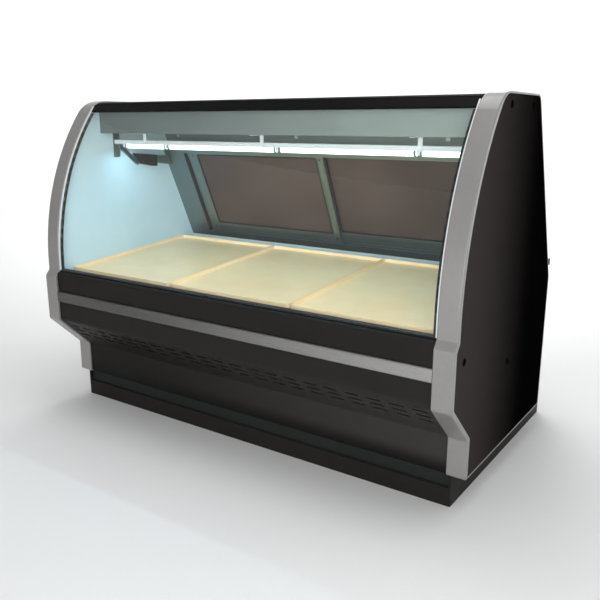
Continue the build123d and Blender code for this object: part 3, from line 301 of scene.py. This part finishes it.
def clear_glass():
    """Float glass, faintly green, which lets lamps through."""
    pane = Finish("clear_glass", IOR=1.45, Transmission_Weight=1.0)
    smear = pane.spread(pane.noise(0.25, detail=6), 0, 1, 0.45, 0.8)
    pane.colored(pane.mix(smear, (0.96, 0.99, 0.985), (0.90, 0.95, 0.94)))
    pane.rough(pane.noise(0.12, detail=7), 0.004, 0.03)
    lets_light = pane.tree.nodes.new("ShaderNodeBsdfTransparent")
    lets_light.inputs["Color"].default_value = (0.93, 0.97, 0.96, 1)
    path = pane.tree.nodes.new("ShaderNodeLightPath")
    choose = pane.tree.nodes.new("ShaderNodeMixShader")
    pane.link(path.outputs["Is Shadow Ray"], choose.inputs["Fac"])
    pane.link(pane.shader.outputs["BSDF"], choose.inputs[1])
    pane.link(lets_light.outputs["BSDF"], choose.inputs[2])
    pane.link(choose.outputs["Shader"], pane.output.inputs["Surface"])
    return pane


def door_glass():
    """Dark reflective glass of the rear doors."""
    pane = Finish("door_glass", Specular_IOR_Level=0.3)
    cloud = pane.spread(pane.noise(0.3, detail=5), 0, 1)
    pane.colored(pane.mix(cloud, (0.056, 0.034, 0.029), (0.080, 0.052, 0.045)))
    return pane.rough(pane.noise(0.1, detail=6), 0.012, 0.045)


def cream_tray():
    """Glossy food-grade plastic with fine knife scuffs."""
    tray = Finish("cream_tray", Coat_Weight=0.15, Coat_Roughness=0.2)
    scuff = tray.spread(tray.noise(0.003, (40, 1, 1), detail=5), 0, 1, 0.58, 0.75)
    base = tray.mix(tray.spread(tray.noise(0.12, detail=5), 0, 1), (0.93, 0.66, 0.37), (0.96, 0.72, 0.43))
    tray.colored(tray.mix(scuff, base, (0.97, 0.79, 0.53)))
    tray.rough(tray.noise(0.02, detail=6), 0.3, 0.46)
    return tray.bumped(tray.noise(0.004, detail=3), 0.0001)


# The liner is white steel; the blue in its colour is painted light, the cool cast of the lamps laid into the
# paint.
def white_steel():
    return painted("white_steel", (0.50, 0.64, 0.71), (0.36, 0.48), 0.02, Specular_IOR_Level=0.25)


def copper():
    pipe = Finish("copper_pipe", Metallic=1.0)
    stain = pipe.spread(pipe.noise(0.05, detail=6), 0, 1, 0.45, 0.65)
    pipe.colored(pipe.mix(stain, (0.62, 0.26, 0.14), (0.33, 0.14, 0.09)))
    return pipe.rough(pipe.noise(0.02, detail=5), 0.28, 0.5)


def foam():
    """Cut polyurethane foam: open cells and a yellowed skin."""
    core = Finish("foam_core")
    core.colored(core.mix(core.noise(0.03, detail=6), (0.62, 0.52, 0.30), (0.75, 0.66, 0.42)))
    core.rough(core.noise(0.01), 0.8, 0.95)
    return core.bumped(core.cells(0.0018), 0.0004)


FINISHES = {
    "black_steel": black_steel(),
    "kick_plate_dark": kick_plate_dark(),
    "grey_moulding": grey_moulding(),
    "grey_bumper": grey_bumper(),
    "white_steel": white_steel(),
    "foam_core": foam(),
    "black_plastic": black_plastic(),
    "black_rubber": black_rubber(),
    "black_aluminium": black_aluminium(),
    "grey_canopy": grey_canopy(),
    "clear_glass": clear_glass(),
    "door_glass": door_glass(),
    "satin_aluminium": brushed("satin_aluminium", (0.22, 0.27, 0.265), 0, (0.32, 0.46), 0.07),
    "white_lamp_metal": painted("white_lamp_metal", (0.66, 0.70, 0.70), (0.35, 0.48), 0.03),
    "lamp": lamp_glow(),
    "stainless_steel": brushed("stainless_steel", (0.50, 0.50, 0.49), 0, (0.24, 0.38), 0.08),
    "cream_tray": cream_tray(),
    "coil_metal": brushed("coil_metal", (0.52, 0.53, 0.54), 2, (0.3, 0.45)),
    "galvanised_steel": galvanised(),
    "motor_metal": painted("motor_metal", (0.012, 0.012, 0.013), (0.4, 0.55)),
    "fan_plastic": moulded("fan_plastic", (0.022, 0.022, 0.022), (0.4, 0.55)),
    "copper_pipe": copper(),
    "white_pvc": moulded("white_pvc", (0.62, 0.62, 0.60), (0.35, 0.5)),
}

panel_finish = panel_skin()
OWN_FINISHES = {
    "left_outer_skin": panel_finish,
    "right_outer_skin": panel_finish,
    "lower_front_panel": apron_steel(),
}
for row in frame["record"]["subparts"]:
    materials = frame["nodes"][row["node"]].data.materials
    materials.clear()
    finish = OWN_FINISHES.get(row["node"], FINISHES[row["material_slot"]])
    materials.append(finish.material)


# ---------------------------------------------------------------- places on the case, millimetres and degrees
HALF_DEPTH = 560  # from the nose of the end panels to the middle of the case
HEIGHT = 1330
REAR_TOP = 640  # depth at which the rear slope meets the top
LEAN = math.radians(23.55)
LEFT_DOOR_E = (-44.5, -32.5)  # faces of the left door, outwards from the rear slope
RIGHT_DOOR_E = (-23.5, -11.5)
DOOR_STILE = 62
MEETING_STILE = 38
STILE_BEAD_U = (246, 664)  # down the rear slope
RAIL_BEADS_U = (622, 632, 655)
DOOR_SCREWS_U = (252, 641)
PANE_U = (245, 615)
PANE_LAP = 6  # of the pane behind the stiles
OPENING_X = (-745, 791)
JAMB_U = (238, 664)
JAMB_COVER_E = (-52.4, -49.8)  # a strip on the inner face of each jamb
CURVE_D = 1070  # centre of the curved front edge of the end panels
CURVE_Z = 640
LIP_RADII = (1045, 1038.6)
LIP_X = ((-881.3, -876.5), (876.5, 881.3))
LIP_FOOT_Z = 616
LIP_ARC = 39.6
LIP_STEPS = 30
PLATE_FACE = 1098.5  # depth of the control plate's outer face
KNOB_CENTRE_UP = 17  # above the lowest point of the knob
KNOB_SEGMENTS = 120
KNOB_FLUTES = 24
# radius, depth of the flutes, height above the plate
KNOB_RINGS = ((17, 0, 0), (17, 0.9, 1.5), (16.4, 0.9, 11), (15.4, 0.5, 13.2), (13.5, 0, 14))
DIAL_TICKS = 11
DIAL_SWEEP = 270
ACCESS_FACE = 1098  # depth of the access panel's outer face
LOUVRE_COLUMNS = 8
LOUVRE_ROWS = 9
LOUVRE_PITCH = (150, 24)
LOUVRE_MIDDLE_Z = 320
HOOD_PROFILE = ((0, 0), (5.5, -5), (5.5, -8), (4.7, -8), (4.6, -5.3), (0, -1.6))  # outwards, up
HOOD_HALF = 56
HOOD_UP = 6  # of the hood's root above the middle of its slot


def at_depth(x, depth, z):
    """Point from millimetres, the depth counted back from the nose of the end panels."""
    return Vector((x, depth - HALF_DEPTH, z)) * MM


def on_slope(x, u, e):
    """Point on the rear slope in millimetres: u down the slope and e outwards from it."""
    depth = REAR_TOP + u * math.sin(LEAN) + e * math.cos(LEAN)
    return at_depth(x, depth, HEIGHT - u * math.cos(LEAN) + e * math.sin(LEAN))


# ---------------------------------------------------------------- mesh helpers
def piece(name, mesh, body, slot, *replaced, smooth=True):
    """Puts a finished bmesh in the scene as a named piece riding on a body, with its slot's finish."""
    data = bpy.data.meshes.new(name)
    bmesh.ops.recalc_face_normals(mesh, faces=mesh.faces)
    mesh.to_mesh(data)
    mesh.free()
    obj = bpy.data.objects.new(name, data)
    bpy.context.scene.collection.objects.link(obj)
    data.materials.append(FINISHES[slot].material)
    if smooth:
        data.shade_smooth()
        data.set_sharp_from_angle(angle=math.radians(35))
    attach(obj, body)
    if replaced:
        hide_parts(*replaced)
    return obj


def islands(node):
    """(lowest corner, highest corner) of each separate solid of a CAD node, from left to right."""
    mesh = bmesh.new()
    mesh.from_mesh(frame["nodes"][node].data)
    bmesh.ops.remove_doubles(mesh, verts=mesh.verts, dist=1e-6)
    unseen = set(mesh.verts)
    boxes = []
    while unseen:
        group = [unseen.pop()]
        for vert in group:
            for edge in vert.link_edges:
                other = edge.other_vert(vert)
                if other in unseen:
                    unseen.discard(other)
                    group.append(other)
        corners = [[pick(v.co[i] for v in group) for i in range(3)] for pick in (min, max)]
        boxes.append((Vector(corners[0]), Vector(corners[1])))
    mesh.free()
    return sorted(boxes, key=lambda corners: tuple(corners[0]))


def turned(mesh, profile, place, axis, segments=32):
    """Adds a turned solid through (radius, height) points, the first and last of them on the axis."""
    frame_of_axis = Vector(axis).to_track_quat("Z", "Y").to_matrix().to_4x4()
    frame_of_axis.translation = place
    rings = []
    for radius, height in profile:
        if radius < 1e-7:
            rings.append([mesh.verts.new(frame_of_axis @ Vector((0, 0, height)))])
            continue
        ring = []
        for step in range(segments):
            turn = 2 * math.pi * step / segments
            point = Vector((radius * math.cos(turn), radius * math.sin(turn), height))
            ring.append(mesh.verts.new(frame_of_axis @ point))
        rings.append(ring)
    for first, second in zip(rings, rings[1:]):
        for step in range(segments):
            following = (step + 1) % segments
            corners = [first[step % len(first)], first[following % len(first)]]
            corners += [second[following % len(second)], second[step % len(second)]]
            face = list(dict.fromkeys(corners))
            mesh.faces.new(face)


def band(mesh, first, second):
    """Adds the faces between two rings of as many points each."""
    for step in range(len(first)):
        following = (step + 1) % len(first)
        mesh.faces.new((first[step], first[following], second[following], second[step]))


def lofted(mesh, rings):
    """Adds the solid through a row of rings, with a face on its first and last ring."""
    for first, second in zip(rings, rings[1:]):
        band(mesh, first, second)
    mesh.faces.new(rings[0])
    mesh.faces.new(rings[-1])


def swept(mesh, points, radius, segments=8, closed=False):
    """Adds a round wire through points."""
    rings = []
    count = len(points)
    for index, point in enumerate(points):
        before = points[index - 1] if closed or index else points[0]
        after = points[(index + 1) % count] if closed or index < count - 1 else points[-1]
        turn = (after - before).to_track_quat("Z", "Y")
        ring = []
        for step in range(segments):
            angle = 2 * math.pi * step / segments
            spoke = Vector((radius * math.cos(angle), radius * math.sin(angle), 0))
            ring.append(mesh.verts.new(point + turn @ spoke))
        rings.append(ring)
    if not closed:
        lofted(mesh, rings)
        return
    for first, second in zip(rings, rings[1:] + rings[:1]):
        band(mesh, first, second)


def bar(mesh, place, x, second, third):
    """Adds a six-sided bar between two values of each coordinate, put in place by a point function."""
    corners = [mesh.verts.new(place(a, b, c)) for a in x for b in second for c in third]
    for face in ((0, 1, 3, 2), (4, 6, 7, 5), (0, 4, 5, 1), (2, 3, 7, 6), (0, 2, 6, 4), (1, 5, 7, 3)):
        mesh.faces.new([corners[index] for index in face])


# ---------------------------------------------------------------- fine pieces
def lamp_ferrules():
    """Aluminium end caps crimped on every lamp tube."""
    mesh = bmesh.new()
    length = 11 * MM
    for low, high in islands("lamp_tubes"):
        middle = (low + high) / 2
        outer = (high.z - low.z) / 2
        profile = (
            (0, 0),
            (outer - 1.5 * MM, 0),
            (outer + 0.5 * MM, 1.6 * MM),
            (outer + 0.5 * MM, length - 1 * MM),
            (outer - 0.3 * MM, length),
            (0, length),
        )
        for x, direction in ((low.x, 1), (high.x, -1)):
            turned(mesh, profile, Vector((x, middle.y, middle.z)), (direction, 0, 0))
    piece("lamp_ferrules", mesh, "cabinet", "satin_aluminium")


def hole_plugs():
    """Matt black snap-in plugs with a low dome and a rolled rim, in place of the plain discs."""
    mesh = bmesh.new()
    for low, high in islands("end_panel_plugs"):
        middle = (low + high) / 2
        outwards = 1 if middle.x > 0 else -1
        face = high.x if outwards > 0 else low.x
        radius = (high.z - low.z) / 2
        profile = (
            (0, -1.0 * MM),
            (radius - 0.4 * MM, -1.0 * MM),
            (radius - 0.2 * MM, 0.5 * MM),
            (radius + 1.6 * MM, 0.5 * MM),
            (radius + 1.5 * MM, 1.1 * MM),
            (radius + 0.5 * MM, 1.6 * MM),
            (radius - 1.2 * MM, 1.1 * MM),
            (radius * 0.6, 1.5 * MM),
            (0, 1.8 * MM),
        )
        turned(mesh, profile, Vector((face, middle.y, middle.z)), (outwards, 0, 0))
    plugs = piece("hole_plugs", mesh, "cabinet", "black_plastic", "end_panel_plugs")
    matt = moulded("plug_plastic", (0.0025, 0.0025, 0.0025), (0.6, 0.75), Specular_IOR_Level=0.0)
    plugs.data.materials[0] = matt.material


def fan_guards():
    """Wire guards in front of the evaporator fans: rings on four spokes that bend back to the plenum."""
    mesh = bmesh.new()
    wire = 1.1 * MM
    segments = 48
    turns = [2 * math.pi * step / segments for step in range(segments)]
    for side in ("left", "right"):
        low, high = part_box(f"evaporator_fan_{side}")
        middle = Vector(((low.x + high.x) / 2, low.y - 4 * MM, (low.z + high.z) / 2))
        reach = (high.x - low.x) / 2 + 8 * MM
        for share in (0.28, 0.52, 0.76, 1.0):
            ring = [middle + reach * share * Vector((math.cos(turn), 0, math.sin(turn))) for turn in turns]
            swept(mesh, ring, wire, closed=True)
        hub = middle + Vector((0, 2 * wire, 0))
        for degrees in (45, 135, 225, 315):
            turn = math.radians(degrees)
            way = Vector((math.cos(turn), 0, math.sin(turn)))
            foot = middle + way * (reach + 3 * MM) + Vector((0, 19 * MM, 0))
            swept(mesh, [hub + way * 6 * MM, hub + way * (reach + 3 * MM), foot], wire)
    piece("fan_guards", mesh, "cabinet", "stainless_steel")


def pan_head(mesh, place, axis, radius):
    """Adds a domed screw head with a cross recess shown by four raised quarters round it."""
    height = radius * 0.42
    shares = ((1, 0), (0.98, 0.4), (0.8, 0.75), (0.62, 0.84))
    dome = [(radius * across, height * up) for across, up in shares]
    turned(mesh, ((0, 0), *dome, (0, height * 0.5)), place, axis, 24)
    side = Vector(axis).to_track_quat("Z", "Y").to_matrix()
    for turn in range(4):
        spin = Matrix.Rotation(math.pi * turn / 2 + 0.3, 3, "Z")

        def quarter(a, b, c):
            return Vector(place) + side @ (spin @ Vector((a, b, c)))

        inner, outer = radius * 0.1, radius * 0.47
        bar(mesh, quarter, (inner, outer), (inner, outer), (height * 0.3, height * 0.92))


def panel_screw_heads():
    """Cross-recess pan heads with their shanks, in place of the plain ones."""
    mesh = bmesh.new()
    head_height = 1.8 * MM
    shank = ((0, 0), (2 * MM, 0), (2 * MM, 11 * MM), (0.6 * MM, 12 * MM), (0, 12 * MM))
    for low, high in islands("panel_screws"):
        middle = (low + high) / 2
        seat = Vector((middle.x, high.y - head_height, middle.z))
        pan_head(mesh, seat, (0, 1, 0), 4.5 * MM)
        turned(mesh, shank, seat, (0, -1, 0), 12)
    piece("panel_screw_heads", mesh, "cabinet", "stainless_steel", "panel_screws")


def faces_of_door(depths, inset, proud):
    """For both faces of a door, the two values of e between which a strip on that face lies."""
    return [sorted((face - inset * out, face + proud * out)) for face, out in zip(depths, (-1, 1))]


def door_beads(side, depths):
    """Raised beads along the extruded stiles and rails, and corner screws, on both faces of a door."""
    low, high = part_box(f"{side}_door_frame")
    x0, x1 = low.x / MM, high.x / MM
    wide0, wide1 = (DOOR_STILE, MEETING_STILE) if side == "left" else (MEETING_STILE, DOOR_STILE)
    half_stile_bead, half_rail_bead = 1.6, 1.4
    beads = bmesh.new()
    for relief in faces_of_door(depths, 0.3, 1.3):
        for edge, wide, inwards in ((x0, wide0, 1), (x1, wide1, -1)):
            for share in (0.16, 0.84):
                x = edge + inwards * wide * share
                bar(beads, on_slope, (x - half_stile_bead, x + half_stile_bead), STILE_BEAD_U, relief)
        for u in RAIL_BEADS_U:
            bar(beads, on_slope, (x0 + wide0, x1 - wide1), (u - half_rail_bead, u + half_rail_bead), relief)
    piece(f"{side}_door_beads", beads, f"{side}_door", "satin_aluminium", smooth=False)
    screws = bmesh.new()
    outwards = on_slope(0, 0, 1) - on_slope(0, 0, 0)
    for x in (x0 + wide0 * 0.5, x1 - wide1 * 0.5):
        for u in DOOR_SCREWS_U:
            pan_head(screws, on_slope(x, u, depths[0]), -outwards, 4 * MM)
            pan_head(screws, on_slope(x, u, depths[1]), outwards, 4 * MM)
    piece(f"{side}_door_screws", screws, f"{side}_door", "black_plastic")


def glazing_gaskets(side, depths):
    """Thin black glazing gasket round the pane of a door, on both faces."""
    low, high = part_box(f"{side}_door_glass")
    x0, x1 = low.x / MM + PANE_LAP, high.x / MM - PANE_LAP
    half = 2.5
    mesh = bmesh.new()
    for relief in faces_of_door(depths, 2.5, 0.9):
        for x in (x0, x1):
            bar(mesh, on_slope, (x - half, x + half), PANE_U, relief)
        for u in PANE_U:
            bar(mesh, on_slope, (x0 + half, x1 - half), (u - half, u + half), relief)
    piece(f"{side}_glazing_gasket", mesh, f"{side}_door", "black_rubber", smooth=False)


def moulding_lips():
    """Lip of each end moulding along the opening, beside the glass seal; its pale paint is a painted
    highlight along that edge.
    """
    mesh = bmesh.new()

    def ring(x, turn, down):
        corners = []
        for radius, sides in zip(LIP_RADII, (x, x[::-1])):
            depth = CURVE_D - radius * math.cos(turn)
            z = CURVE_Z + radius * math.sin(turn) - down
            corners += [mesh.verts.new(at_depth(side, depth, z)) for side in sides]
        return corners

    for x in LIP_X:
        curve = [ring(x, math.radians(LIP_ARC * step / LIP_STEPS), 0) for step in range(LIP_STEPS + 1)]
        lofted(mesh, [ring(x, 0, CURVE_Z - LIP_FOOT_Z)] + curve)
    piece("moulding_lips", mesh, "cabinet", "white_lamp_metal")


def jamb_gaskets():
    """Black rubber strips on the jambs: a rib that the doors close against and a flat cover beside it."""
    mesh = bmesh.new()
    for edge, inwards, depths in zip(OPENING_X, (1, -1), (LEFT_DOOR_E, RIGHT_DOOR_E)):
        rib = sorted((edge, edge + inwards * 8))
        bar(mesh, on_slope, rib, JAMB_U, (depths[0] - 1, depths[1] + 1))
        bar(mesh, on_slope, (edge - 6, edge + 6), JAMB_U, JAMB_COVER_E)
    piece("jamb_gaskets", mesh, "cabinet", "black_rubber", smooth=False)


def dial_knob():
    """Fluted thermostat knob with a raised pointer, on its shaft."""
    mesh = bmesh.new()
    low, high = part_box("thermostat_knob")
    x, z = (low.x + high.x) / 2 / MM, low.z / MM + KNOB_CENTRE_UP
    face = PLATE_FACE + 0.7
    rings = []
    for radius, flute, height in KNOB_RINGS:
        ring = []
        for step in range(KNOB_SEGMENTS):
            turn = 2 * math.pi * step / KNOB_SEGMENTS
            reach = radius - flute * (0.5 - 0.5 * math.cos(KNOB_FLUTES * turn))
            place = at_depth(x + reach * math.cos(turn), face + height, z + reach * math.sin(turn))
            ring.append(mesh.verts.new(place))
        rings.append(ring)
    lofted(mesh, rings)
    bar(mesh, at_depth, (x - 1.6, x + 1.6), (face + 13.5, face + 16), (z - 2, z + 15))
    shaft = ((0, 0), (3 * MM, 0), (3 * MM, 36.5 * MM), (0, 36.5 * MM))
    turned(mesh, shaft, at_depth(x, face, z), (0, -1, 0), 20)
    piece("dial_knob", mesh, "thermostat_dial", "black_plastic", "thermostat_knob")
    dial_marks(x, z)


def dial_marks(x, z):
    """Printed strokes round the knob, the first, middle and last of them longer."""
    mesh = bmesh.new()
    for step in range(DIAL_TICKS):
        turn = math.radians(225 - DIAL_SWEEP * step / (DIAL_TICKS - 1))

        def stroke(along, across, depth):
            right = along * math.cos(turn) - across * math.sin(turn)
            up = along * math.sin(turn) + across * math.cos(turn)
            return at_depth(x + right, depth, z + up)

        end = 27 if step % 5 == 0 else 25
        bar(mesh, stroke, (21, end), (-0.5, 0.5), (PLATE_FACE - 0.2, PLATE_FACE + 0.25))
    piece("dial_marks", mesh, "cabinet", "white_lamp_metal", smooth=False)


def louvre_hoods():
    """Pressed hoods over the slots of the rear access panel."""
    mesh = bmesh.new()
    for column in range(LOUVRE_COLUMNS):
        middle = (column - (LOUVRE_COLUMNS - 1) / 2) * LOUVRE_PITCH[0]
        for row in range(LOUVRE_ROWS):
            top = LOUVRE_MIDDLE_Z + (row - (LOUVRE_ROWS - 1) / 2) * LOUVRE_PITCH[1] + HOOD_UP
            ends = []
            for x in (middle - HOOD_HALF, middle + HOOD_HALF):
                outline = [at_depth(x, ACCESS_FACE + out, top + up) for out, up in HOOD_PROFILE]
                ends.append([mesh.verts.new(point) for point in outline])
            lofted(mesh, ends)
    piece("louvre_hoods", mesh, "cabinet", "black_steel", smooth=False)


lamp_ferrules()
hole_plugs()
fan_guards()
panel_screw_heads()
door_beads("left", LEFT_DOOR_E)
door_beads("right", RIGHT_DOOR_E)
glazing_gaskets("left", LEFT_DOOR_E)
glazing_gaskets("right", RIGHT_DOOR_E)
jamb_gaskets()
moulding_lips()
dial_knob()
louvre_hoods()


# ---------------------------------------------------------------- floor and light
SWEEP_REACH = 8  # metres of flat floor round the case
SWEEP_BEND = 3
SWEEP_HEIGHT = 9
SWEEP_STEPS = 12


def studio_sweep():
    """Pale paper floor that curves up into a wall all round, far from the case."""
    mesh = bmesh.new()
    bend = []
    for step in range(SWEEP_STEPS + 1):
        turn = math.pi / 2 * step / SWEEP_STEPS
        bend.append((SWEEP_REACH + SWEEP_BEND * math.sin(turn), SWEEP_BEND * (1 - math.cos(turn))))
    wall_top = (SWEEP_REACH + SWEEP_BEND, SWEEP_HEIGHT)
    turned(mesh, [(0, 0), (SWEEP_REACH / 2, 0), *bend, wall_top], Vector(), (0, 0, 1), 96)
    data = bpy.data.meshes.new("studio_sweep")
    for face in mesh.faces:
        face.smooth = True
    mesh.to_mesh(data)
    mesh.free()
    obj = bpy.data.objects.new("studio_sweep", data)
    bpy.context.scene.collection.objects.link(obj)
    paper = Finish("studio_paper")
    paper.colored(paper.mix(paper.noise(0.6, detail=4), (0.80, 0.80, 0.80), (0.82, 0.82, 0.82)))
    paper.rough(paper.noise(0.1), 0.85, 0.95)
    data.materials.append(paper.material)


def softbox(name, place, aim, size, watts, color=(1, 1, 1)):
    """Rectangular light at a place, turned towards a point."""
    data = bpy.data.lights.new(name, "AREA")
    data.shape = "RECTANGLE"
    data.size, data.size_y = size
    data.energy = watts
    data.color = color
    obj = bpy.data.objects.new(name, data)
    bpy.context.scene.collection.objects.link(obj)
    obj.location = place
    obj.rotation_euler = (Vector(aim) - Vector(place)).to_track_quat("-Z", "Y").to_euler()


def lamp_light():
    """Light of the tubes, from just under them, towards the deck and the back."""
    low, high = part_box("lamp_tubes")
    place = Vector((0, (low.y + high.y) / 2, low.z - 4 * MM))
    width = 0.02
    length = high.x - low.x - width
    softbox("lamp_light", place, place + Vector((0, 0.1, -1)), (length, width), 3.3, (0.52, 0.83, 1))


studio_sweep()
lamp_light()
softbox("key", (2.7, -3.1, 1.5), (0.4, -0.4, 0.45), (2.0, 2.0), 62)
softbox("front", (0.6, -4.2, 1.0), (0.3, -0.5, 0.5), (0.8, 1.2), 34)
softbox("panel_glow", (3.4, 3.0, 1.1), (0.95, -0.3, 0.7), (1.7, 1.9), 22)
softbox("top", (0.2, 0.3, 4.6), (0, 0, 0.8), (3.4, 2.6), 75)
softbox("rear", (-1.4, 3.6, 2.6), (0, 0.3, 0.7), (2.6, 2.2), 55)
softbox("backdrop", (-1.5, 3.5, 6.8), (-5.0, 9.5, 3.5), (5.0, 2.0), 800)

world = bpy.data.worlds.new("studio")
bpy.context.scene.world = world
world.use_nodes = True
world.node_tree.nodes["Background"].inputs["Color"].default_value = (0.93, 0.94, 0.95, 1)
world.node_tree.nodes["Background"].inputs["Strength"].default_value = 0.42
